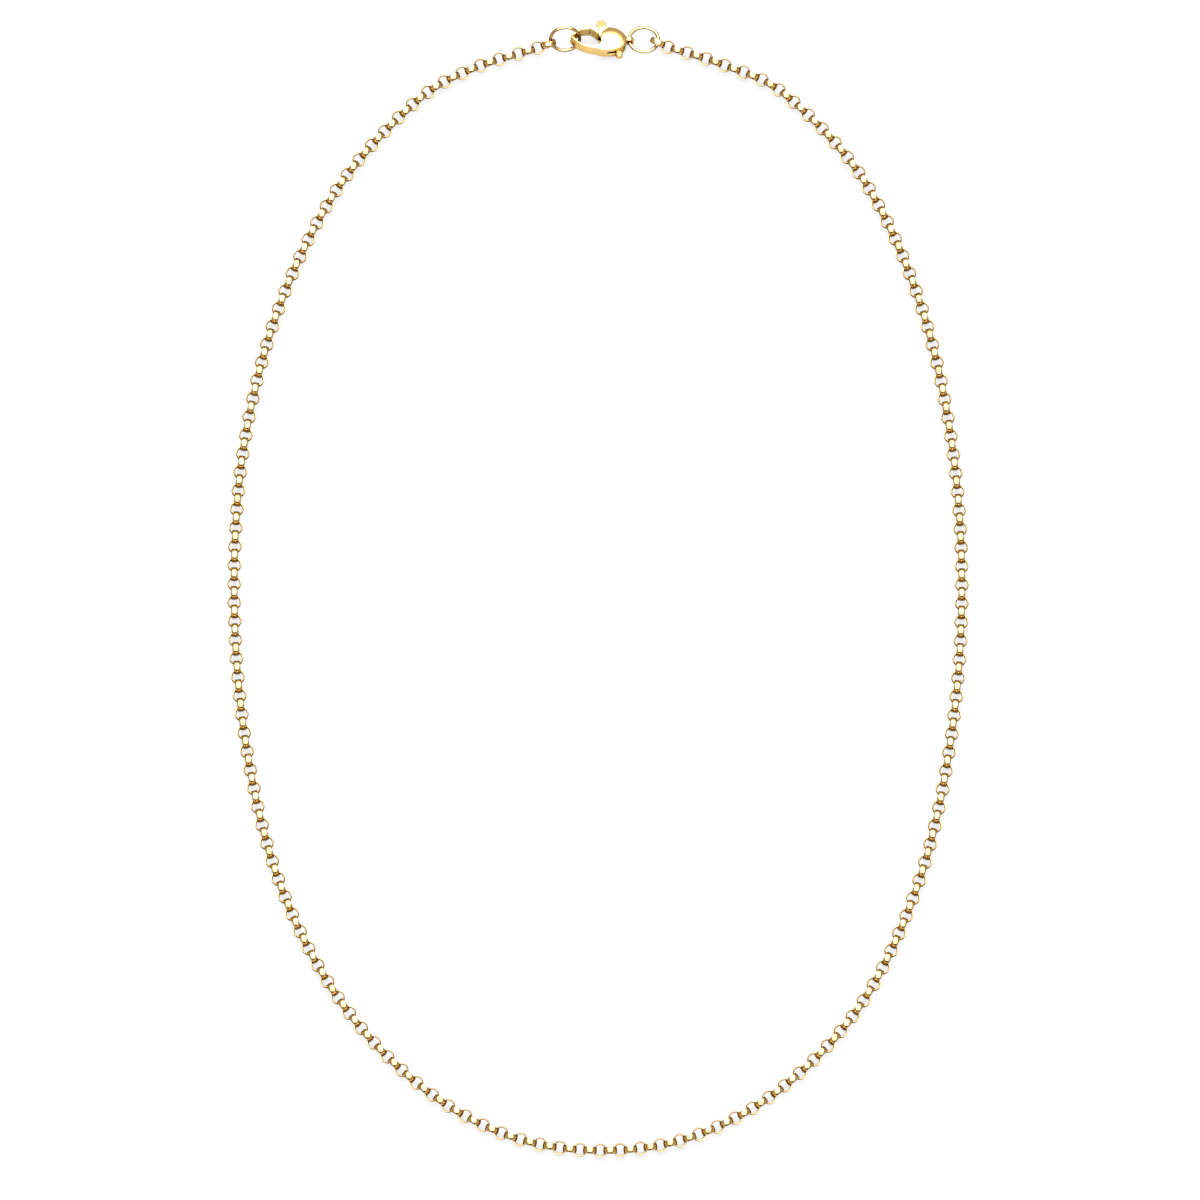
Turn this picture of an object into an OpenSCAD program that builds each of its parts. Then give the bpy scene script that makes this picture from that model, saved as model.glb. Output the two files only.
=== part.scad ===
/* [Loop] */
// Width of the laid loop, between the middles of the chain at its sides
loop_w = 106.8; // [95:0.1:120]
// Length of the laid loop, between the middles of the chain at its top and bottom
loop_h = 176.14; // [160:0.01:190]
// Outside diameter of a chain link, which is also the height of the laid chain
link_d = 2.02; // [1.8:0.01:2.3]

/* [End links] */
// Outside diameter of the link that ends each side of the chain
end_d = 2.35; // [2.2:0.01:2.6]
// Width of an end link's band
end_band = 0.85; // [0.5:0.01:1]
// Thickness of an end link's band
end_wall = 0.22; // [0.15:0.01:0.24]

/* [Jump rings] */
// Outside diameter of a jump ring
ring_d = 4.8; // [4.6:0.01:5.2]
// Wire diameter of a jump ring
ring_wire = 0.47; // [0.4:0.01:0.5]

/* [Clasp body] */
// Length of the claw, without its bail
clasp_l = 8.15; // [7.6:0.01:9]
// Height of the claw across its widest place
clasp_h = 4.1; // [3.9:0.01:4.5]
// Thickness of the claw between its flat faces
clasp_t = 1.85; // [1.6:0.01:2]
// Diameter of the domed cheek where it meets the flat face
dome_d = 4.1; // [3.6:0.01:4.4]
// Height of the domed cheek above the flat face
dome_rise = 0.45; // [0.2:0.01:0.6]
// Diameter of the hole in the bail
bail_hole_d = 0.7; // [0.68:0.01:0.8]
// Thickness of the bail around its hole
bail_wall = 0.38; // [0.3:0.01:0.45]
// Width of the bail along its hole
bail_band = 0.75; // [0.5:0.01:0.8]
// Diameter of the stud on the claw's lower side
stud_d = 1; // [0.6:0.01:1.2]
// Length of the stud, through the claw's thickness
stud_t = 0.8; // [0.5:0.01:1]
// Length of the slit in the claw's lower side
slit_l = 1.2; // [0.6:0.01:1.5]
// Width of the slit in the claw's lower side
slit_w = 0.34; // [0.2:0.01:0.4]
// Depth of the slit in the claw's lower side
slit_depth = 0.5; // [0.3:0.01:0.6]

/* [Clasp lever] */
// Thickness of the lever's root and thumb tab
lever_t = 0.9; // [0.7:0.01:1]
// Diameter of the thumb tab
tab_d = 1.4; // [1:0.01:1.5]
// Height of the thumb tab's middle above the claw's upper edge
tab_rise = 0.88; // [0.75:0.01:1]
// Distance from the lever's pivot up to the claw's upper edge
pivot_in = 0.85; // [0.8:0.01:0.9]
// Distance from the lever's pivot to the curved end of its gate
gate_r = 1.7; // [1.6:0.01:1.75]
// Diameter of the lever's hub
hub_d = 1.1; // [0.9:0.01:1.2]
// Diameter of the rivet that the lever turns on
pin_d = 0.5; // [0.4:0.01:0.6]
// Space between the lever and the claw on each side
lever_gap = 0.05; // [0.04:0.01:0.08]

/* [Hidden] */

gold = [0.93, 0.72, 0.36];
gold_light = [0.97, 0.82, 0.52];
gold_deep = [0.78, 0.55, 0.22];

// The chain's route as shares of half the loop's width and length, from the top to the bottom.
RIGHT_ROUTE = [[0.35, 0.95], [0.52, 0.895], [0.735, 0.74], [0.89, 0.515], [0.975, 0.26], [1, 0],
               [0.97, -0.26], [0.885, -0.51], [0.73, -0.73], [0.51, -0.885], [0.26, -0.975], [0, -1]];
LEFT_ROUTE = [[-0.35, 0.943], [-0.51, 0.88], [-0.72, 0.725], [-0.88, 0.51], [-0.975, 0.26], [-1, 0],
              [-0.97, -0.26], [-0.88, -0.51], [-0.72, -0.72], [-0.505, -0.875], [-0.26, -0.97], [0, -1]];
// Headings of the two end links, and how the left one leans and is lifted by its jump ring.
left_heading = 20.9;
right_heading = -26.5;
left_lean = 32;
left_lift = 0.3;
right_lean = 20;
tube_sides = 8;
tube_steps = 3;
tube_start_gap = 0.22;

// The claw lies on its rounded back, leaning towards its thumb tab and down towards its bail.
clasp_roll = 11;
clasp_pitch = 6;
clasp_x = 0.12;
clasp_drop = 0.84;
// The claw's outline and its hole, as shares of half its length and height.
CLAW = [[-1.02, 0.2], [-0.775, 0.71], [-0.625, 0.9], [-0.48, 0.965], [-0.26, 1], [-0.04, 1], [0.27, 1],
        [0.44, 0.985], [0.62, 0.88], [0.81, 0.64], [0.93, 0.38], [0.99, 0.08], [0.955, -0.4],
        [0.81, -0.7], [0.62, -0.88], [0.44, -0.975], [0.25, -1], [0.07, -0.975], [-0.11, -0.875],
        [-0.295, -0.83], [-0.48, -0.74], [-0.66, -0.59], [-0.79, -0.435], [-0.89, -0.24], [-0.97, -0.06]];
HOLE = [[-0.895, 0.1], [-0.8, 0.41], [-0.665, 0.64], [-0.49, 0.725], [-0.27, 0.735], [-0.147, 0.567],
        [-0.035, 0.35], [0.037, 0.07], [0.054, -0.195], [0, -0.42], [-0.12, -0.57], [-0.31, -0.65],
        [-0.49, -0.585], [-0.67, -0.455], [-0.83, -0.2]];
curve_steps = 4;
half_l = clasp_l / 2;
half_h = clasp_h / 2;
arm_x = -0.897 * half_l;

// The cheek's crease is a circle, and its dome is a part of a ball.
dome_x = 0.515 * half_l;
crease_r = 2.88;
crease_x = 0.76 * half_l;
dome_ball = (dome_d * dome_d / 4 + dome_rise * dome_rise) / (2 * dome_rise);

bail_r = (bail_hole_d + bail_wall) / 2;
bail_x = half_l + bail_r - 0.11;
bail_y = 0.35;
neck_d = 0.7;
neck_l = 0.8;

stud_at = [0.735 * half_l, -0.975 * half_h, -0.3];
slit_x = 0.315 * half_l;

// The lever's pivot, its gate's slanted end and its sweep, in degrees about the pivot.
pivot = [0.368 * half_l, half_h - pivot_in];
joint_x = -0.27 * half_l;
joint_lean = 0.38;
gate_end = 200;
open_angle = 18;
sweep_gap = 4;
slot_start = 78;
root_start = 128;
tab = [0.105 * half_l, half_h + tab_rise];
stem_w = 0.74;
slot_t = lever_t + 2 * lever_gap;
pin_fit = 0.02;
pin_seat = 0.28;
far = 4 * clasp_h;

// Jump rings: the left one hangs on the claw's arm, the right one in the bail.
ring_r = (ring_d - ring_wire) / 2;
arm_gap = 0.27;
left_ring_tilt = 73;
left_ring_y = 0.2;
left_ring_z = 0.03;
ring_inside = ring_d / 2 - ring_wire - arm_gap;
left_ring_x = arm_x - sqrt(ring_inside * ring_inside - pow(clasp_t / 2 / sin(left_ring_tilt), 2));
right_ring_pitch = 2;
right_ring_heading = 5.5;
left_link_at = 30;
left_link_play = 0.51;
right_link_at = -14.2;
right_link_play = -0.04;

// Heights and places in the frame of the whole part, with Z = 0 at the surface and Y = 0 halfway.
function claw_turn(p) =
    let (y = p.y * cos(clasp_roll) + p.z * sin(clasp_roll),
         z = p.z * cos(clasp_roll) - p.y * sin(clasp_roll))
    [p.x * cos(clasp_pitch) + z * sin(clasp_pitch), y, z * cos(clasp_pitch) - p.x * sin(clasp_pitch)];

tab_top = claw_turn([tab.x, tab.y + tab_d / 2, lever_t / 2]).y;
route_y = (link_d / 2 + clasp_drop - tab_top) / 2;
clasp_z = dome_ball - claw_turn([dome_x, 0, dome_ball - dome_rise - clasp_t / 2]).z;
clasp_at = [clasp_x, route_y + loop_h / 2 - clasp_drop, clasp_z];
bail_at = clasp_at + claw_turn([bail_x, bail_y, 0]);

function plan(angle) = [cos(angle), sin(angle)];
function end_height(lean) = end_d / 2 * cos(lean) + end_band / 2 * sin(lean) + 0.01;

left_wire_at = clasp_at + claw_turn([left_ring_x - ring_r * cos(left_link_at),
                                     left_ring_y - ring_r * sin(left_link_at) * cos(left_ring_tilt),
                                     left_ring_z - ring_r * sin(left_link_at) * sin(left_ring_tilt)]);
left_link = [left_wire_at.x - left_link_play, left_wire_at.y];
right_ring = [bail_at.x, bail_at.y] + ring_r * cos(right_ring_pitch) * plan(right_ring_heading);
right_link = right_ring + (ring_r + right_link_play) * plan(right_link_at);

// Point at share t between b and c on a smooth curve through a, b, c and d.
function between(a, b, c, d, t) =
    (2 * b + (c - a) * t + (2 * a - 5 * b + 4 * c - d) * t * t
     + (3 * b - a - 3 * c + d) * t * t * t) / 2;

function closed_curve(p) =
    let (n = len(p))
    [for (i = [0 : n - 1]) for (k = [0 : curve_steps - 1])
        between(p[(i + n - 1) % n], p[i], p[(i + 1) % n], p[(i + 2) % n], k / curve_steps)];

function open_curve(p) =
    [for (i = [1 : len(p) - 3]) for (k = [0 : tube_steps - 1])
        between(p[i - 1], p[i], p[i + 1], p[i + 2], k / tube_steps), p[len(p) - 2]];

function claw_points(shares) = [for (s = closed_curve(shares)) [s.x * half_l, s.y * half_h]];

// The route from an end link to the bottom, with one more point before and after it.
function route_points(shares, start, side) =
    let (way = [for (s = shares) [s.x * loop_w / 2, route_y + s.y * loop_h / 2]],
         before = 2 * start - way[0],
         last = way[len(way) - 2])
    concat([before, start], way, [[-last.x, last.y]]);

function heading_at(p, i) =
    i == len(p) - 1
        ? (p[i - 1].x > 0 ? 180 : 0)
        : let (step = p[i + 1] - p[max(i - 1, 0)]) atan2(step.y, step.x);

module chain_tube(points) {
    flat_r = link_d / 2 / cos(180 / tube_sides);
    rings = [for (i = [0 : len(points) - 1]) for (k = [0 : tube_sides - 1])
        let (heading = heading_at(points, i), turn = (k + 0.5) * 360 / tube_sides)
        [points[i].x - flat_r * cos(turn) * sin(heading),
         points[i].y + flat_r * cos(turn) * cos(heading),
         link_d / 2 + flat_r * sin(turn)]];
    last = (len(points) - 1) * tube_sides;
    walls = [for (i = [0 : len(points) - 2]) for (k = [0 : tube_sides - 1])
        let (next = (k + 1) % tube_sides)
        [i * tube_sides + k, (i + 1) * tube_sides + k,
         (i + 1) * tube_sides + next, i * tube_sides + next]];
    start_face = [for (k = [0 : tube_sides - 1]) k];
    end_face = [for (k = [tube_sides - 1 : -1 : 0]) last + k];
    polyhedron(points = rings, faces = concat([start_face, end_face], walls));
}

module chain_left() {
    start = left_link - (end_d / 2 + tube_start_gap) * plan(left_heading);
    color(gold) chain_tube(open_curve(route_points(LEFT_ROUTE, start)));
}

module chain_right() {
    start = right_link + (end_d / 2 + tube_start_gap) * plan(right_heading);
    color(gold) chain_tube(open_curve(route_points(RIGHT_ROUTE, start)));
}

module round_wire(mean_r, wire) {
    rotate_extrude($fn = 96)
        translate([mean_r, 0])
            circle(d = wire, $fn = 32);
}

// A short round band, standing on its edge with its hole across the chain.
module end_link(at, height, heading, lean) {
    translate([at.x, at.y, height])
        rotate([90 + lean, 0, heading])
            difference() {
                cylinder(h = end_band, d = end_d, center = true, $fn = 64);
                cylinder(h = 2 * end_band, d = end_d - 2 * end_wall, center = true, $fn = 64);
            }
}

module left_end_link() {
    color(gold) end_link(left_link, end_height(left_lean) + left_lift, left_heading, left_lean);
}

module right_end_link() {
    color(gold) end_link(right_link, end_height(right_lean), right_heading, right_lean);
}

module at_clasp() {
    translate(clasp_at)
        rotate([-clasp_roll, clasp_pitch, 0])
            children();
}

module left_jump_ring() {
    color(gold_light)
        at_clasp()
            translate([left_ring_x, left_ring_y, left_ring_z])
                rotate([left_ring_tilt, 0, 0])
                    round_wire(ring_r, ring_wire);
}

module right_jump_ring() {
    color(gold_light)
        translate(bail_at)
            rotate([-clasp_roll, right_ring_pitch, right_ring_heading])
                translate([ring_r, 0, 0])
                    round_wire(ring_r, ring_wire);
}

module claw_plate(height) {
    linear_extrude(height, center = true)
        polygon(claw_points(CLAW));
}

// The domed cheek on one face: the claw's outline inside the crease, topped by a ball.
module cheek() {
    intersection() {
        claw_plate(clasp_t + 2 * dome_rise);
        translate([crease_x, 0, 0])
            cylinder(h = far, r = crease_r, center = true, $fn = 96);
        translate([dome_x, 0, clasp_t / 2 + dome_rise - dome_ball])
            sphere(r = dome_ball, $fn = 96);
        translate([0, -far / 2, 0])
            cube([far, far, far]);
    }
}

// A wedge about the pivot, from one angle to another, that reaches far past the claw.
module wedge(from, to, height) {
    middle = (from + to) / 2;
    linear_extrude(height, center = true)
        polygon([pivot, pivot + far * plan(from), pivot + far * plan(middle), pivot + far * plan(to)]);
}

// The upper arm to the right of the gate's slanted end, which stands inset to the right of the joint.
module right_of_joint(inset, height) {
    slope = [joint_lean, 1];
    foot = [joint_x + inset, half_h] - half_h * slope;
    linear_extrude(height, center = true)
        polygon([foot, foot + far * slope, [far, far], [far, foot.y]]);
}

// A short band with rounded edges, with its hole across the claw.
module bail() {
    edge = (bail_band - bail_wall) / 2;
    rotate([90, 0, 0])
        rotate_extrude($fn = 64)
            translate([bail_r, 0]) {
                square([bail_wall, 2 * edge], center = true);
                for (side = [-1, 1])
                    translate([0, side * edge])
                        circle(d = bail_wall, $fn = 24);
            }
}

module clasp_body() {
    color(gold)
        at_clasp()
            difference() {
                union() {
                    claw_plate(clasp_t);
                    cheek();
                    mirror([0, 0, 1]) cheek();
                    translate([bail_x, bail_y, 0])
                        bail();
                    translate([half_l - neck_l, bail_y, 0])
                        rotate([0, 90, 0])
                            cylinder(h = neck_l - 0.1, d = neck_d, $fn = 32);
                    translate(stud_at)
                        cylinder(h = stud_t, d = stud_d, center = true, $fn = 48);
                }
                // The claw's hole.
                linear_extrude(far, center = true)
                    polygon(claw_points(HOLE));
                // The mouth that the gate fills and swings through.
                difference() {
                    intersection() {
                        right_of_joint(-lever_gap, far);
                        wedge(90, gate_end + open_angle + sweep_gap, far);
                    }
                    translate(pivot)
                        cylinder(h = 2 * far, r = gate_r - lever_gap, center = true, $fn = 96);
                }
                // The slot between the cheeks for the lever's root and stem.
                intersection() {
                    wedge(slot_start, gate_end + open_angle + sweep_gap, slot_t);
                    translate(pivot)
                        cylinder(h = slot_t, r = gate_r, center = true, $fn = 96);
                }
                translate(pivot)
                    cylinder(h = slot_t, d = hub_d + 2 * lever_gap, center = true, $fn = 48);
                translate(pivot)
                    cylinder(h = slot_t + 2 * pin_seat, d = pin_d + pin_fit, center = true, $fn = 48);
                // The slit in the lower side.
                translate([slit_x, -half_h - slit_depth, -slit_w / 2])
                    cube([slit_l, 2 * slit_depth, slit_w]);
            }
}

module clasp_lever() {
    stem = tab - pivot;
    color(gold_light)
        at_clasp()
            difference() {
                union() {
                    // The gate, as thick as the claw.
                    difference() {
                        intersection() {
                            claw_plate(clasp_t);
                            right_of_joint(0, far);
                            wedge(90, gate_end, far);
                        }
                        linear_extrude(far, center = true)
                            polygon(claw_points(HOLE));
                        translate(pivot)
                            cylinder(h = far, r = gate_r, center = true, $fn = 96);
                    }
                    // The root between the cheeks, the hub and the thumb tab on its stem.
                    intersection() {
                        claw_plate(lever_t);
                        wedge(root_start, gate_end, lever_t);
                        translate(pivot)
                            cylinder(h = lever_t, r = gate_r + lever_gap, center = true, $fn = 96);
                    }
                    translate(pivot)
                        cylinder(h = lever_t, d = hub_d, center = true, $fn = 48);
                    translate(pivot)
                        rotate([0, 0, atan2(stem.y, stem.x)])
                            translate([0, -stem_w / 2, -lever_t / 2])
                                cube([norm(stem), stem_w, lever_t]);
                    translate(tab)
                        cylinder(h = lever_t, d = tab_d, center = true, $fn = 48);
                }
                translate(pivot)
                    cylinder(h = far, d = pin_d + 2 * pin_fit, center = true, $fn = 48);
            }
}

module clasp_pin() {
    color(gold_deep)
        at_clasp()
            translate(pivot)
                cylinder(h = slot_t + 2 * pin_seat - pin_fit, d = pin_d, center = true, $fn = 48);
}

chain_left();
chain_right();
left_end_link();
right_end_link();
left_jump_ring();
right_jump_ring();
clasp_body();
clasp_lever();
clasp_pin();
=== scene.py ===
import math
import random

import bpy
from mathutils import Matrix, Vector


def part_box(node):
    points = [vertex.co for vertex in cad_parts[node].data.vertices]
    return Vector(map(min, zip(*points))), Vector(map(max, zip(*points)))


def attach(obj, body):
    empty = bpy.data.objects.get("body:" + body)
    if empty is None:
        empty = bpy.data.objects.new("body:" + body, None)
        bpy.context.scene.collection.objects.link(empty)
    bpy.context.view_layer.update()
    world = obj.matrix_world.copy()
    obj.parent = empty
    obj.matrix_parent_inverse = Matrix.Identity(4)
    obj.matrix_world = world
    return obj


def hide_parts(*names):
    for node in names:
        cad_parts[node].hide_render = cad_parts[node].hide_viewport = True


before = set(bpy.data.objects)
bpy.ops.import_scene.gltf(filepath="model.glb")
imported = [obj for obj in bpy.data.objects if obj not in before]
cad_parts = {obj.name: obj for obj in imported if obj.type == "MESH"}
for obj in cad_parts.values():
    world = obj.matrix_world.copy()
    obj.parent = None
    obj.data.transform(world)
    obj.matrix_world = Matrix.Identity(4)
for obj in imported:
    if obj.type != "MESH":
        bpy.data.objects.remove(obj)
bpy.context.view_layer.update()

MM = 0.001

# The view
# The necklace lies on a white surface and is seen from above, from the side of its bottom,
# 22 degrees off the vertical and through a long lens that keeps the loop's two sides alike.
VIEW_TILT = math.radians(22)
VIEW_ACROSS = 176.15 * MM
VIEW_AWAY = 7.0
VIEW_AIM = Vector((0.29, -1.81, 0)) * MM
SENSOR = 36.0

to_camera = Vector((0, -math.sin(VIEW_TILT), math.cos(VIEW_TILT)))
bpy.ops.object.select_all(action="DESELECT")
bpy.ops.object.camera_add(location=VIEW_AIM + VIEW_AWAY * to_camera, rotation=(VIEW_TILT, 0, 0))
camera = bpy.context.object
camera.name = "camera"
camera.data.sensor_width = SENSOR
camera.data.lens = SENSOR * VIEW_AWAY / VIEW_ACROSS
bpy.context.scene.camera = camera
bpy.context.scene.view_settings.view_transform = "Standard"

# The surface
# A matt white board, lit from behind a little as a light table is, so that it is almost pure
# white and shows only faint grey shadows where the chain and the clasp stand on it.
BOARD_SIDE = 12.0
BOARD_WHITE = (0.190, 0.191, 0.193, 1)
BOARD_MIRRORED = (0.44, 0.44, 0.44, 1)
BOARD_ROUGHNESS = 0.9
BOARD_SHINE = 0.1
BOARD_GLOW = 0.65
PURE_WHITE = (1, 1, 1, 1)


def feed(tree, socket, value):
    """Links a socket to another one, or sets it to a plain value."""
    if isinstance(value, bpy.types.NodeSocket):
        tree.links.new(value, socket)
    else:
        socket.default_value = value


def add_math(tree, operation, first, second):
    """A math node on two values, each a socket or a number."""
    made = tree.nodes.new("ShaderNodeMath")
    made.operation = operation
    feed(tree, made.inputs[0], first)
    feed(tree, made.inputs[1], second)
    return made.outputs[0]


def mix_colour(tree, factor, first, second):
    """A colour between two, each a socket or a colour."""
    made = tree.nodes.new("ShaderNodeMix")
    made.data_type = "RGBA"
    slots = {socket.identifier: socket for socket in made.inputs}
    feed(tree, slots["Factor_Float"], factor)
    feed(tree, slots["A_Color"], first)
    feed(tree, slots["B_Color"], second)
    return next(socket for socket in made.outputs if socket.identifier == "Result_Color")


bpy.ops.object.select_all(action="DESELECT")
bpy.ops.mesh.primitive_plane_add(size=BOARD_SIDE, location=(0, 0, 0))
board = bpy.context.object
board.name = "board"
board_paint = bpy.data.materials.new("board_white")
board_paint.use_nodes = True
board_tree = board_paint.node_tree
board_shader = board_tree.nodes["Principled BSDF"]
board_shader.inputs["Roughness"].default_value = BOARD_ROUGHNESS
board_shader.inputs["Specular IOR Level"].default_value = BOARD_SHINE
board_shader.inputs["Emission Color"].default_value = PURE_WHITE
board_ray = board_tree.nodes.new("ShaderNodeLightPath").outputs
board_tone = mix_colour(board_tree, board_ray["Is Glossy Ray"], BOARD_WHITE, BOARD_MIRRORED)
board_glow = add_math(board_tree, "MULTIPLY", board_ray["Is Camera Ray"], BOARD_GLOW)
board_tree.links.new(board_tone, board_shader.inputs["Base Color"])
board_tree.links.new(board_glow, board_shader.inputs["Emission Strength"])
board_paint.cycles.emission_sampling = "NONE"
board.data.materials.append(board_paint)

# The light
# A white tent: one broad soft panel overhead, pale walls, and a dark gap low on the viewer's
# side, which the polished gold shows as brown. Directions are degrees from the vertical.
PANEL_FRONT = -50
PANEL_FRONT_EDGE = 5
PANEL_BACK = 57
PANEL_BACK_EDGE = 18
PANEL_SIDE = 38
PANEL_SIDE_EDGE = 15
PANEL_LIGHT = 3.5
PANEL_RISE = 2.6
RISE_FROM = -5
RISE_TO = 45
SIDE_LIGHT = 0.46
BACK_LIGHT = 0.55
BACK_FROM = 40
BACK_TO = 80
GAP_BACK = -57
GAP_FRONT = -84
GAP_SIDE = 40
GAP_EDGE = 5
GAP_LIGHT = 0.02
BACKGROUND_LIGHT = 1.0


def add_ramp(tree, value, low, high):
    """Rises smoothly from 0 to 1 while a value goes from low to high."""
    made = tree.nodes.new("ShaderNodeMapRange")
    made.interpolation_type = "SMOOTHSTEP"
    feed(tree, made.inputs["From Min"], low)
    feed(tree, made.inputs["From Max"], high)
    feed(tree, made.inputs["Value"], value)
    return made.outputs["Result"]


def add_window(tree, angle, low, low_edge, high, high_edge):
    """1 while an angle is between two limits in degrees, each with a soft edge."""
    opened = add_ramp(tree, angle, math.radians(low - low_edge), math.radians(low + low_edge))
    closed = add_ramp(tree, angle, math.radians(high - high_edge), math.radians(high + high_edge))
    return add_math(tree, "SUBTRACT", opened, closed)


tent = bpy.data.worlds.new("white_tent")
tent.use_nodes = True
bpy.context.scene.world = tent
sky = tent.node_tree
axes = sky.nodes.new("ShaderNodeSeparateXYZ")
sky.links.new(sky.nodes.new("ShaderNodeTexCoord").outputs["Generated"], axes.inputs[0])
back_angle = add_math(sky, "ARCTAN2", axes.outputs["Y"], axes.outputs["Z"])
side_angle = add_math(sky, "ARCTAN2", axes.outputs["X"], axes.outputs["Z"])
panel_long = add_window(sky, back_angle, PANEL_FRONT, PANEL_FRONT_EDGE, PANEL_BACK, PANEL_BACK_EDGE)
panel_wide = add_window(sky, side_angle, -PANEL_SIDE, PANEL_SIDE_EDGE, PANEL_SIDE, PANEL_SIDE_EDGE)
panel = add_math(sky, "MULTIPLY", panel_long, panel_wide)
panel_light = add_ramp(sky, back_angle, math.radians(RISE_FROM), math.radians(RISE_TO))
panel_light = add_math(sky, "MULTIPLY", panel_light, PANEL_RISE)
panel_light = add_math(sky, "ADD", panel_light, PANEL_LIGHT)
gap_long = add_window(sky, back_angle, GAP_FRONT, GAP_EDGE, GAP_BACK, GAP_EDGE)
gap_wide = add_window(sky, side_angle, -GAP_SIDE, GAP_EDGE, GAP_SIDE, GAP_EDGE)
gap = add_math(sky, "MULTIPLY", gap_long, gap_wide)
behind = add_ramp(sky, back_angle, math.radians(BACK_FROM), math.radians(BACK_TO))
wall_light = add_math(sky, "MULTIPLY", behind, BACK_LIGHT - SIDE_LIGHT)
wall_light = add_math(sky, "ADD", wall_light, SIDE_LIGHT)
gap_loss = add_math(sky, "MULTIPLY", gap, SIDE_LIGHT - GAP_LIGHT)
wall_light = add_math(sky, "SUBTRACT", wall_light, gap_loss)
tent_light = add_math(sky, "ADD", wall_light, add_math(sky, "MULTIPLY", panel, panel_light))
seen = sky.nodes.new("ShaderNodeMix")
seen.data_type = "FLOAT"
feed(sky, seen.inputs["Factor"], sky.nodes.new("ShaderNodeLightPath").outputs["Is Camera Ray"])
feed(sky, seen.inputs["A"], tent_light)
feed(sky, seen.inputs["B"], BACKGROUND_LIGHT)
sky.links.new(seen.outputs["Result"], sky.nodes["Background"].inputs["Strength"])
sky.nodes["Background"].inputs["Color"].default_value = PURE_WHITE

# The links
# Round links of yellow gold, each a short ring of flat wire with a soft ridge, soldered shut and
# hung through the next. They lie flat and on edge by turns, all tipped to the viewer's side.
LINK_ACROSS = 2.07 * MM
LINK_SHOULDER = 1.96 * MM
LINK_LIP = 1.87 * MM
LINK_HOLE = 1.575 * MM
LINK_BAND = 0.95 * MM
SHOULDER_BAND = 0.88 * MM
LINK_SIDES = 16
LINK_WIRE_SIDES = 6
LINK_COUNT = 297
LINK_FROM_END = 1.66 * MM
LINK_JITTER = math.radians(0.9)
LINK_SEED = 11
RISE_OVER = 3.5 * MM
LOOP_WIDE = 106.8 * MM
LOOP_LONG = 176.14 * MM
LOOP_MIDDLE = -0.8996 * MM
LEFT_HEADING = math.radians(20.9)
RIGHT_HEADING = math.radians(-26.5)
ROUTE_START = 1.395 * MM
ROUTE_STEPS = 40
QUARTER_TURN = math.pi / 2
WELD = 0.001 * MM
# The loop's course from the left end link round the bottom to the right end link, as shares of
# half its width and half its length.
COURSE = [(-0.35, 0.943), (-0.51, 0.88), (-0.72, 0.725), (-0.88, 0.51), (-0.975, 0.26), (-1, 0),
          (-0.97, -0.26), (-0.88, -0.51), (-0.72, -0.72), (-0.505, -0.875), (-0.26, -0.97), (0, -1),
          (0.26, -0.975), (0.51, -0.885), (0.73, -0.73), (0.885, -0.51), (0.97, -0.26), (1, 0),
          (0.975, 0.26), (0.89, 0.515), (0.735, 0.74), (0.52, 0.895), (0.35, 0.95)]


def spin_wire(sides):
    """Spins the edited section of a wire round the Z axis and closes it into a smooth ring."""
    bpy.ops.mesh.select_all(action="SELECT")
    bpy.ops.mesh.spin(steps=sides, angle=math.tau, center=(0, 0, 0), axis=(0, 0, 1))
    bpy.ops.mesh.select_all(action="SELECT")
    bpy.ops.mesh.remove_doubles(threshold=WELD)
    bpy.ops.mesh.normals_make_consistent(inside=False)
    bpy.ops.object.mode_set(mode="OBJECT")
    bpy.ops.object.shade_smooth()


# The wire starts as a six-sided ring on edge. Its outer and inner corners become the ridge and
# the hole, the four between them the rounded edges, and it is spun round the hole.
bpy.ops.object.select_all(action="DESELECT")
bpy.ops.mesh.primitive_circle_add(vertices=LINK_WIRE_SIDES, radius=1, location=(0, 0, 0),
                                  rotation=(QUARTER_TURN, QUARTER_TURN, 0))
link = bpy.context.object
link.name = "link"
bpy.ops.object.transform_apply(location=True, rotation=True, scale=True)
for corner in link.data.vertices:
    if round(corner.co.z) == 0:
        corner.co = (LINK_ACROSS / 2 if corner.co.x > 0 else LINK_HOLE / 2, 0, 0)
    elif corner.co.x > 0:
        corner.co = (LINK_SHOULDER / 2, 0, math.copysign(SHOULDER_BAND / 2, corner.co.z))
    else:
        corner.co = (LINK_LIP / 2, 0, math.copysign(LINK_BAND / 2, corner.co.z))
bpy.ops.object.mode_set(mode="EDIT")
spin_wire(LINK_SIDES)


def turn(angle, axis):
    """A turn by an angle round an axis through the origin."""
    return Matrix.Rotation(angle, 4, axis)


def box_middle(node):
    """The middle of a CAD node's box."""
    low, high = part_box(node)
    return (low + high) / 2


def plan(angle):
    """The direction at an angle from +X, level."""
    return Vector((math.cos(angle), math.sin(angle), 0))


def between(a, b, c, d, t):
    """The point at share t between b and c on a smooth curve through a, b, c and d."""
    return (2 * b + (c - a) * t + (2 * a - 5 * b + 4 * c - d) * t * t
            + (3 * b - a - 3 * c + d) * t * t * t) / 2


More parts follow.
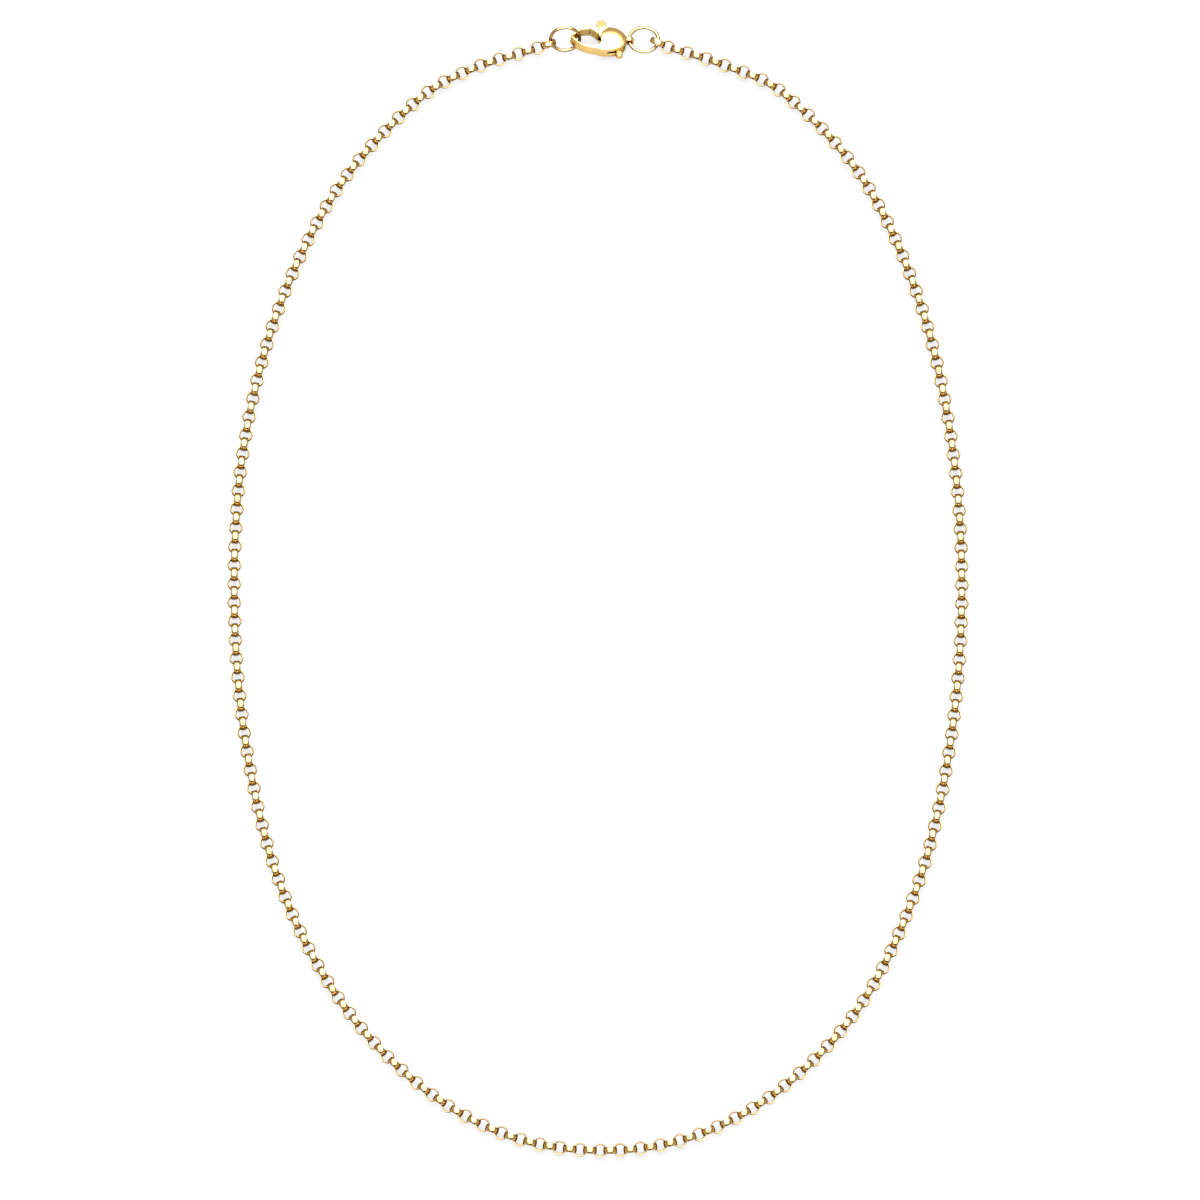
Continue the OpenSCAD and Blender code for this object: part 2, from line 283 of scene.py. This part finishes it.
left_end = box_middle("left_end_link")
right_end = box_middle("right_end_link")
left_level = Vector((left_end.x, left_end.y, 0))
right_level = Vector((right_end.x, right_end.y, 0))
left_start = left_level - ROUTE_START * plan(LEFT_HEADING)
right_start = right_level + ROUTE_START * plan(RIGHT_HEADING)
way = [Vector((x * LOOP_WIDE / 2, LOOP_MIDDLE + y * LOOP_LONG / 2, 0)) for x, y in COURSE]
through = [2 * left_start - way[0], left_start, *way, right_start, 2 * right_start - way[-1]]
route = [left_level]
for i in range(1, len(through) - 2):
    for k in range(ROUTE_STEPS):
        route.append(between(*through[i - 1:i + 3], k / ROUTE_STEPS))
route += [right_start, right_level]
reach = [0.0]
for a, b in zip(route, route[1:]):
    reach.append(reach[-1] + (b - a).length)


def on_route(distance):
    """The place and heading at a distance along the route."""
    i = next(k for k, total in enumerate(reach) if total >= distance)
    a, b = route[i - 1], route[i]
    share = (distance - reach[i - 1]) / (reach[i] - reach[i - 1])
    step = b - a
    return a + share * step, math.atan2(step.y, step.x)


def link_height(lean):
    """The height of the links' middle at which a leaning link on edge stands on the surface."""
    shoulder = LINK_SHOULDER / 2 * math.cos(lean) + SHOULDER_BAND / 2 * math.sin(lean)
    return max(shoulder, LINK_ACROSS / 2 * math.cos(lean))


# Every second link is on edge. Near both ends the links rise to the height of the end links.
rng = random.Random(LINK_SEED)
pitch = (reach[-1] - 2 * LINK_FROM_END) / (LINK_COUNT - 1)
places = []
for i in range(LINK_COUNT):
    along = LINK_FROM_END + i * pitch
    place, heading = on_route(along)
    lean = math.atan(math.tan(VIEW_TILT) * math.cos(heading))
    height = link_height(abs(lean))
    height += max(left_end.z - height, 0) * math.exp(-along / RISE_OVER)
    height += max(right_end.z - height, 0) * math.exp(-(reach[-1] - along) / RISE_OVER)
    headed = turn(heading + rng.uniform(-LINK_JITTER, LINK_JITTER), "Z")
    leaned = turn(lean + rng.uniform(-LINK_JITTER, LINK_JITTER), "X")
    on_edge = turn(QUARTER_TURN if i % 2 else 0, "X")
    spun = turn(rng.uniform(0, math.tau), "Z")
    places.append(Matrix.Translation((place.x, place.y, height)) @ headed @ leaned @ on_edge @ spun)


def hang_links(name, chosen):
    """Copies the link to each chosen place and joins the copies into one strand."""
    bpy.ops.object.select_all(action="DESELECT")
    for matrix in chosen:
        copy = bpy.data.objects.new(name, link.data.copy())
        copy.data.transform(matrix)
        bpy.context.scene.collection.objects.link(copy)
        copy.select_set(True)
    bpy.context.view_layer.objects.active = copy
    bpy.ops.object.join()
    strand = bpy.context.object
    strand.name = name
    return strand


# The golds share four effects: patches of a paler and a deeper tone, hairlines left by the polishing,
# painted shade that deepens the tone on sharp edges, and painted brown shade in the crevices, where
# the surface is also a little rougher.
PATCH_DETAIL = 3
PATCH_PALE = 0.38
PATCH_DEEP = 0.62
HAIRLINES = 6000.0
HAIRLINE_DETAIL = 2
HAIRLINE_STRETCH = (0.06, 1, 1)
HAIRLINE_TURNS = ((0.3, 0.5, 0.6), (-0.7, 0.2, -0.9))
HAIRLINE_FROM = 0.58
HAIRLINE_TO = 0.70
HAIRLINE_DEPTH = 0.01 * MM
HAIRLINE_RELIEF = 0.08
HAIRLINE_HAZE = 0.05
EDGE_FROM = 0.525
EDGE_SHARE = 0.6
CREVICE_SAMPLES = 8
CREVICE_SHUT = 0.3
CREVICE_OPEN = 0.8
CREVICE_SHADE_SHARE = 0.9
CREVICE_HAZE = 0.12
THROWN_TONE = (0.55, 0.55, 0.55, 1)
COLOUR = "NodeSocketColor"
NUMBER = "NodeSocketFloat"


def new_group(name, inputs, outputs):
    """A shader group with named inputs and outputs, each of its kind."""
    group = bpy.data.node_groups.new(name, "ShaderNodeTree")
    for title, kind in inputs.items():
        group.interface.new_socket(title, in_out="INPUT", socket_type=kind)
    for title, kind in outputs.items():
        group.interface.new_socket(title, in_out="OUTPUT", socket_type=kind)
    return group, group.nodes.new("NodeGroupInput").outputs, group.nodes.new("NodeGroupOutput").inputs


two_tones, given, result = new_group(
    "two_tones", {"Pale": COLOUR, "Deep": COLOUR, "Patches": NUMBER}, {"Color": COLOUR})
place = two_tones.nodes.new("ShaderNodeTexCoord")
cloud = two_tones.nodes.new("ShaderNodeTexNoise")
cloud.inputs["Detail"].default_value = PATCH_DETAIL
two_tones.links.new(place.outputs["Object"], cloud.inputs["Vector"])
two_tones.links.new(given["Patches"], cloud.inputs["Scale"])
patch = add_ramp(two_tones, cloud.outputs["Fac"], PATCH_PALE, PATCH_DEEP)
two_tones.links.new(mix_colour(two_tones, patch, given["Pale"], given["Deep"]), result["Color"])

hairlines, given, result = new_group(
    "polishing_hairlines", {"Fineness": NUMBER}, {"Height": NUMBER, "Haze": NUMBER})
place = hairlines.nodes.new("ShaderNodeTexCoord")
crossed = []
for strokes in HAIRLINE_TURNS:
    laid = hairlines.nodes.new("ShaderNodeMapping")
    laid.inputs["Rotation"].default_value = strokes
    laid.inputs["Scale"].default_value = HAIRLINE_STRETCH
    lines = hairlines.nodes.new("ShaderNodeTexNoise")
    lines.inputs["Detail"].default_value = HAIRLINE_DETAIL
    hairlines.links.new(place.outputs["Object"], laid.inputs["Vector"])
    hairlines.links.new(laid.outputs["Vector"], lines.inputs["Vector"])
    hairlines.links.new(given["Fineness"], lines.inputs["Scale"])
    crossed.append(add_ramp(hairlines, lines.outputs["Fac"], HAIRLINE_FROM, HAIRLINE_TO))
scored = add_math(hairlines, "MAXIMUM", *crossed)
hairlines.links.new(scored, result["Haze"])
hairlines.links.new(add_math(hairlines, "SUBTRACT", 1.0, scored), result["Height"])

# Painted shade on sharp edges: where the mesh is pointed, the colour is mixed towards a darker edge
# tone.
painted_edge_shade, given, result = new_group("painted_edge_shade", {"Sharpness": NUMBER}, {"Mask": NUMBER})
shape = painted_edge_shade.nodes.new("ShaderNodeNewGeometry")
edge_shade_ramp = add_ramp(painted_edge_shade, shape.outputs["Pointiness"], EDGE_FROM, given["Sharpness"])
painted_edge_shade.links.new(edge_shade_ramp, result["Mask"])

# Painted shade in crevices and between parts: where ambient occlusion finds other surfaces near, the
# colour is mixed towards brown and the surface is made a little rougher.
crevice_shade, given, result = new_group("crevice_shade", {"Reach": NUMBER}, {"Mask": NUMBER})
closeness = crevice_shade.nodes.new("ShaderNodeAmbientOcclusion")
closeness.samples = CREVICE_SAMPLES
crevice_shade.links.new(given["Reach"], closeness.inputs["Distance"])
open_share = add_ramp(crevice_shade, closeness.outputs["AO"], CREVICE_SHUT, CREVICE_OPEN)
crevice_shade.links.new(add_math(crevice_shade, "SUBTRACT", 1.0, open_share), result["Mask"])


def place_group(tree, group, **values):
    """Places a shader group in a material with its own values."""
    made = tree.nodes.new("ShaderNodeGroup")
    made.node_tree = group
    for title, value in values.items():
        made.inputs[title].default_value = value
    return made.outputs


def polished_gold(name, pale, deep, edge_shade_tone, sharpness, crevice_shade_brown, rim, rim_from, rim_to,
                  rim_share, patches, reach, roughness):
    """A polished gold of two tones, with painted shade that deepens it at its rims and sharp edges
    and turns it brown in its crevices.
    """
    metal = bpy.data.materials.new(name)
    metal.use_nodes = True
    tree = metal.node_tree
    shader = tree.nodes["Principled BSDF"]
    shader.inputs["Metallic"].default_value = 1
    shader.inputs["Specular Tint"].default_value = rim
    colour = place_group(tree, two_tones, Pale=pale, Deep=deep, Patches=patches)["Color"]
    edge_shade_mask = place_group(tree, painted_edge_shade, Sharpness=sharpness)["Mask"]
    crevice_shade_and_haze = place_group(tree, crevice_shade, Reach=reach)["Mask"]
    lined = place_group(tree, hairlines, Fineness=HAIRLINES)
    # Painted shade: sharp edges take the darker edge tone.
    colour = mix_colour(tree, add_math(tree, "MULTIPLY", edge_shade_mask, EDGE_SHARE), colour, edge_shade_tone)
    # Painted shade: the colour darkens towards the rim tone where the surface turns away from the
    # view, as if it reflected dark surroundings.
    facing = tree.nodes.new("ShaderNodeLayerWeight").outputs["Facing"]
    painted_rim_shade = add_math(tree, "MULTIPLY", add_ramp(tree, facing, rim_from, rim_to), rim_share)
    colour = mix_colour(tree, painted_rim_shade, colour, rim)
    # Painted shade: crevices and gaps between parts turn brown.
    colour = mix_colour(tree, add_math(tree, "MULTIPLY", crevice_shade_and_haze, CREVICE_SHADE_SHARE), colour, crevice_shade_brown)
    ray = tree.nodes.new("ShaderNodeLightPath")
    colour = mix_colour(tree, ray.outputs["Is Diffuse Ray"], colour, THROWN_TONE)
    tree.links.new(colour, shader.inputs["Base Color"])
    haze = add_math(tree, "MULTIPLY", lined["Haze"], HAIRLINE_HAZE)
    haze = add_math(tree, "ADD", haze, roughness)
    haze = add_math(tree, "ADD", haze, add_math(tree, "MULTIPLY", crevice_shade_and_haze, CREVICE_HAZE))
    tree.links.new(haze, shader.inputs["Roughness"])
    relief = tree.nodes.new("ShaderNodeBump")
    relief.inputs["Strength"].default_value = HAIRLINE_RELIEF
    relief.inputs["Distance"].default_value = HAIRLINE_DEPTH
    tree.links.new(lined["Height"], relief.inputs["Height"])
    tree.links.new(relief.outputs["Normal"], shader.inputs["Normal"])
    return metal


chain_gold = polished_gold("chain_gold", pale=(0.93, 0.66, 0.32, 1), deep=(0.87, 0.58, 0.22, 1),
                           edge_shade_tone=(0.36, 0.19, 0.02, 1), sharpness=0.65,
                           crevice_shade_brown=(0.22, 0.09, 0.01, 1),
                           rim=(0.29, 0.165, 0.032, 1), rim_from=0.05, rim_to=0.55,
                           rim_share=0.85, patches=700.0, reach=0.7 * MM, roughness=0.12)
half = LINK_COUNT // 2
for side, chosen in (("left", places[:half + 1]), ("right", places[half + 1:])):
    strand = hang_links(f"links_{side}", chosen)
    strand.data.materials.append(chain_gold)
    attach(strand, "necklace")
    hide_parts(f"chain_{side}")
bpy.data.objects.remove(link)

# The end links
# One wider link of heavier band on each end of the chain, domed and polished as the others are,
# which joins the last link to the jump ring. It stands on edge and leans to the viewer's side.
END_ACROSS = 2.35 * MM
END_WALL = 0.22 * MM
END_BAND = 0.85 * MM
END_SIDES = 48
END_WIRE_SIDES = 14
LEFT_LEAN = math.radians(32)
RIGHT_LEAN = math.radians(20)


def end_link(name, node, lean, heading):
    """A domed band round a hole that lies across the chain."""
    bpy.ops.object.select_all(action="DESELECT")
    bpy.ops.mesh.primitive_circle_add(vertices=END_WIRE_SIDES, radius=1, location=(0, 0, 0),
                                      rotation=(QUARTER_TURN, 0, 0))
    band = bpy.context.object
    band.name = name
    bpy.ops.object.transform_apply(location=True, rotation=True, scale=True)
    bpy.ops.object.mode_set(mode="EDIT")
    bpy.ops.mesh.select_all(action="SELECT")
    bpy.ops.transform.resize(value=(END_WALL / 2, 1, END_BAND / 2), center_override=(0, 0, 0))
    bpy.ops.transform.translate(value=((END_ACROSS - END_WALL) / 2, 0, 0))
    spin_wire(END_SIDES)
    stance = turn(heading, "Z") @ turn(QUARTER_TURN + lean, "X")
    band.data.transform(Matrix.Translation(box_middle(node)) @ stance)
    band.data.materials.append(chain_gold)
    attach(band, "necklace")
    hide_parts(node)


end_link("left_end_band", "left_end_link", LEFT_LEAN, LEFT_HEADING)
end_link("right_end_band", "right_end_link", RIGHT_LEAN, RIGHT_HEADING)

# The jump rings
# Two rings of round drawn wire, bent shut over the clasp and the end links, then soldered. The
# left one hangs on the claw's arm and the right one in the bail.
RING_ACROSS = 4.8 * MM
RING_WIRE = 0.49 * MM
RING_SIDES = 96
RING_WIRE_SIDES = 24
SEAM_WIDE = 0.05 * MM
SEAM_STEPS = 2
SEAM_DEEP = 0.06
LEFT_SEAM = math.radians(115)
RIGHT_SEAM = math.radians(75)
LEFT_RING_TILT = math.radians(73)
RIGHT_RING_PITCH = math.radians(2)
RIGHT_RING_HEADING = math.radians(5.5)
CLAW_ROLL = math.radians(11)
CLAW_PITCH = math.radians(6)

ring_gold = polished_gold("ring_gold", pale=(0.88, 0.61, 0.28, 1), deep=(0.80, 0.53, 0.21, 1),
                          edge_shade_tone=(0.80, 0.54, 0.22, 1), sharpness=0.60,
                          crevice_shade_brown=(0.30, 0.12, 0.02, 1),
                          rim=(0.24, 0.13, 0.024, 1), rim_from=0.0, rim_to=0.40,
                          rim_share=0.85, patches=500.0, reach=0.5 * MM, roughness=0.10)


def pick_seam(ring):
    """Selects the wire's corners in the plane of the seam, and goes into edit mode."""
    bpy.ops.object.mode_set(mode="OBJECT")
    for corner in ring.data.vertices:
        corner.select = corner.co.x > 0 and abs(corner.co.y) < WELD
    bpy.ops.object.mode_set(mode="EDIT")


def jump_ring(name, node, stance, seam_at):
    """A round wire ring with a fine soldered seam across its wire."""
    wire_middle = (RING_ACROSS - RING_WIRE) / 2
    bpy.ops.object.select_all(action="DESELECT")
    bpy.ops.mesh.primitive_torus_add(major_segments=RING_SIDES, minor_segments=RING_WIRE_SIDES,
                                     major_radius=wire_middle, minor_radius=RING_WIRE / 2,
                                     location=(0, 0, 0))
    ring = bpy.context.object
    ring.name = name
    bpy.ops.object.mode_set(mode="EDIT")
    bpy.ops.mesh.select_mode(type="VERT")
    bpy.ops.mesh.select_all(action="DESELECT")
    pick_seam(ring)
    bpy.ops.mesh.select_mode(type="EDGE")
    bpy.ops.mesh.bevel(offset=SEAM_WIDE / 2, segments=SEAM_STEPS, affect="EDGES")
    bpy.ops.mesh.select_mode(type="VERT")
    pick_seam(ring)
    bpy.ops.transform.resize(value=(1 - SEAM_DEEP, 1, 1 - SEAM_DEEP),
                             center_override=(wire_middle, 0, 0))
    bpy.ops.object.mode_set(mode="OBJECT")
    bpy.ops.object.shade_smooth()
    ring.data.transform(Matrix.Translation(box_middle(node)) @ stance @ turn(seam_at, "Z"))
    ring.data.materials.append(ring_gold)
    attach(ring, "necklace")
    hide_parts(node)


claw_stance = turn(CLAW_PITCH, "Y") @ turn(-CLAW_ROLL, "X")
left_stance = claw_stance @ turn(LEFT_RING_TILT, "X")
right_stance = turn(RIGHT_RING_HEADING, "Z") @ turn(RIGHT_RING_PITCH, "Y") @ turn(-CLAW_ROLL, "X")
jump_ring("left_ring", "left_jump_ring", left_stance, LEFT_SEAM)
jump_ring("right_ring", "right_jump_ring", right_stance, RIGHT_SEAM)

# The clasp's body
# A claw cast in one piece, tumbled and polished: a hooked arm with a small beaded stud, two domed
# cheeks that hold the lever between them, and a bail. Its sizes and places are in the claw's own
# millimetres, before it is turned and laid down.
PIVOT = Vector((1.4996, 1.2, 0))
CAST_GRAIN = 0.045
POLISH_STEP = 0.5
BODY_POLISH = 16
BALL_SIDES = 24
STUD_TOP = Vector((2.995, -1.999, 0.1))
BEAD_COUNT = 6
BEAD_ROUND = 0.15
BEAD_RING = 0.3
PIT_AT = Vector((-3.2, -0.98, 0.4))
PIT_ROUND = 0.17
NICK_AT = Vector((-1.2, -1.75, 0.95))
NICK_ROUND = 0.14
SLIT_AT = Vector((1.87, -2.0, 0.03))
SLIT_SIZE = (1.2, 2.0, 0.52)

claw_place = (Matrix.Translation(box_middle("clasp_pin")) @ claw_stance @ Matrix.Scale(MM, 4)
              @ Matrix.Translation(-PIVOT))
clasp_gold = polished_gold("clasp_gold", pale=(0.92, 0.63, 0.25, 1), deep=(0.87, 0.58, 0.21, 1),
                           edge_shade_tone=(0.52, 0.30, 0.07, 1), sharpness=0.60,
                           crevice_shade_brown=(0.09, 0.03, 0.003, 1),
                           rim=(0.34, 0.20, 0.06, 1), rim_from=0.12, rim_to=0.7,
                           rim_share=0.15, patches=260.0, reach=1.5 * MM, roughness=0.12)


def cast_copy(node, name):
    """A merged copy of a CAD node, in the claw's own millimetres."""
    bpy.ops.object.select_all(action="DESELECT")
    piece = bpy.data.objects.new(name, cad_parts[node].data.copy())
    bpy.context.scene.collection.objects.link(piece)
    piece.data.transform(claw_place.inverted())
    piece.select_set(True)
    bpy.context.view_layer.objects.active = piece
    bpy.ops.object.mode_set(mode="EDIT")
    bpy.ops.mesh.select_all(action="SELECT")
    bpy.ops.mesh.remove_doubles(threshold=WELD / MM)
    bpy.ops.object.mode_set(mode="OBJECT")
    return piece


def small_ball(at, radius):
    """A ball to join to a casting or to cut away from it."""
    bpy.ops.object.select_all(action="DESELECT")
    bpy.ops.mesh.primitive_uv_sphere_add(segments=BALL_SIDES, ring_count=BALL_SIDES // 2,
                                         radius=radius, location=at)
    return bpy.context.object


def add_ball(piece, at, radius):
    """Joins a small ball to a casting, which the softening then fuses with it."""
    small_ball(at, radius)
    piece.select_set(True)
    bpy.context.view_layer.objects.active = piece
    bpy.ops.object.join()


def cut_away(piece, cutter):
    """Cuts another shape away from a casting."""
    hollow = piece.modifiers.new("hollow", "BOOLEAN")
    hollow.operation = "DIFFERENCE"
    hollow.object = cutter
    bpy.context.view_layer.objects.active = piece
    bpy.ops.object.modifier_apply(modifier=hollow.name)
    bpy.data.objects.remove(cutter)


def soften(piece, passes):
    """Skins a casting evenly, rounds its edges and puts it in its place."""
    skin = piece.modifiers.new("skin", "REMESH")
    skin.mode = "VOXEL"
    skin.voxel_size = CAST_GRAIN
    polish = piece.modifiers.new("polish", "SMOOTH")
    polish.factor = POLISH_STEP
    polish.iterations = passes
    bpy.ops.object.select_all(action="DESELECT")
    piece.select_set(True)
    bpy.context.view_layer.objects.active = piece
    bpy.ops.object.modifier_apply(modifier=skin.name)
    bpy.ops.object.modifier_apply(modifier=polish.name)
    bpy.ops.object.shade_smooth()
    piece.data.transform(claw_place)
    piece.data.materials.clear()
    piece.data.materials.append(clasp_gold)


body = cast_copy("clasp_body", "claw")
cut_away(body, small_ball(PIT_AT, PIT_ROUND))
cut_away(body, small_ball(NICK_AT, NICK_ROUND))
bpy.ops.object.select_all(action="DESELECT")
bpy.ops.mesh.primitive_cube_add(size=1, location=SLIT_AT, scale=SLIT_SIZE)
cut_away(body, bpy.context.object)
for k in range(BEAD_COUNT):
    add_ball(body, STUD_TOP + BEAD_RING * plan(k * math.tau / BEAD_COUNT), BEAD_ROUND)
add_ball(body, STUD_TOP, BEAD_ROUND)
soften(body, BODY_POLISH)
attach(body, "necklace")
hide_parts("clasp_body")

# The clasp's lever
# One casting: the gate that closes the claw's mouth, the hub that turns on the rivet, and the
# stem with its round thumb tab, which is bent down a little.
TAB_FROM = 2.15
TAB_BEND = math.radians(-10.8)
LEVER_POLISH = 6

lever = cast_copy("clasp_lever", "gate_lever")
bend = (Matrix.Translation((0, TAB_FROM, 0)) @ turn(TAB_BEND, "X")
        @ Matrix.Translation((0, -TAB_FROM, 0)))
for corner in lever.data.vertices:
    if corner.co.y > TAB_FROM:
        corner.co = bend @ corner.co
soften(lever, LEVER_POLISH)
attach(lever, "lever")
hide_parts("clasp_lever")

# The rivet
# A short pin of the same gold that the lever turns on. It is pressed into both cheeks from
# inside and hidden by them, so the solid's own shape stays.
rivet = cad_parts["clasp_pin"]
rivet.data.materials.clear()
rivet.data.materials.append(clasp_gold)
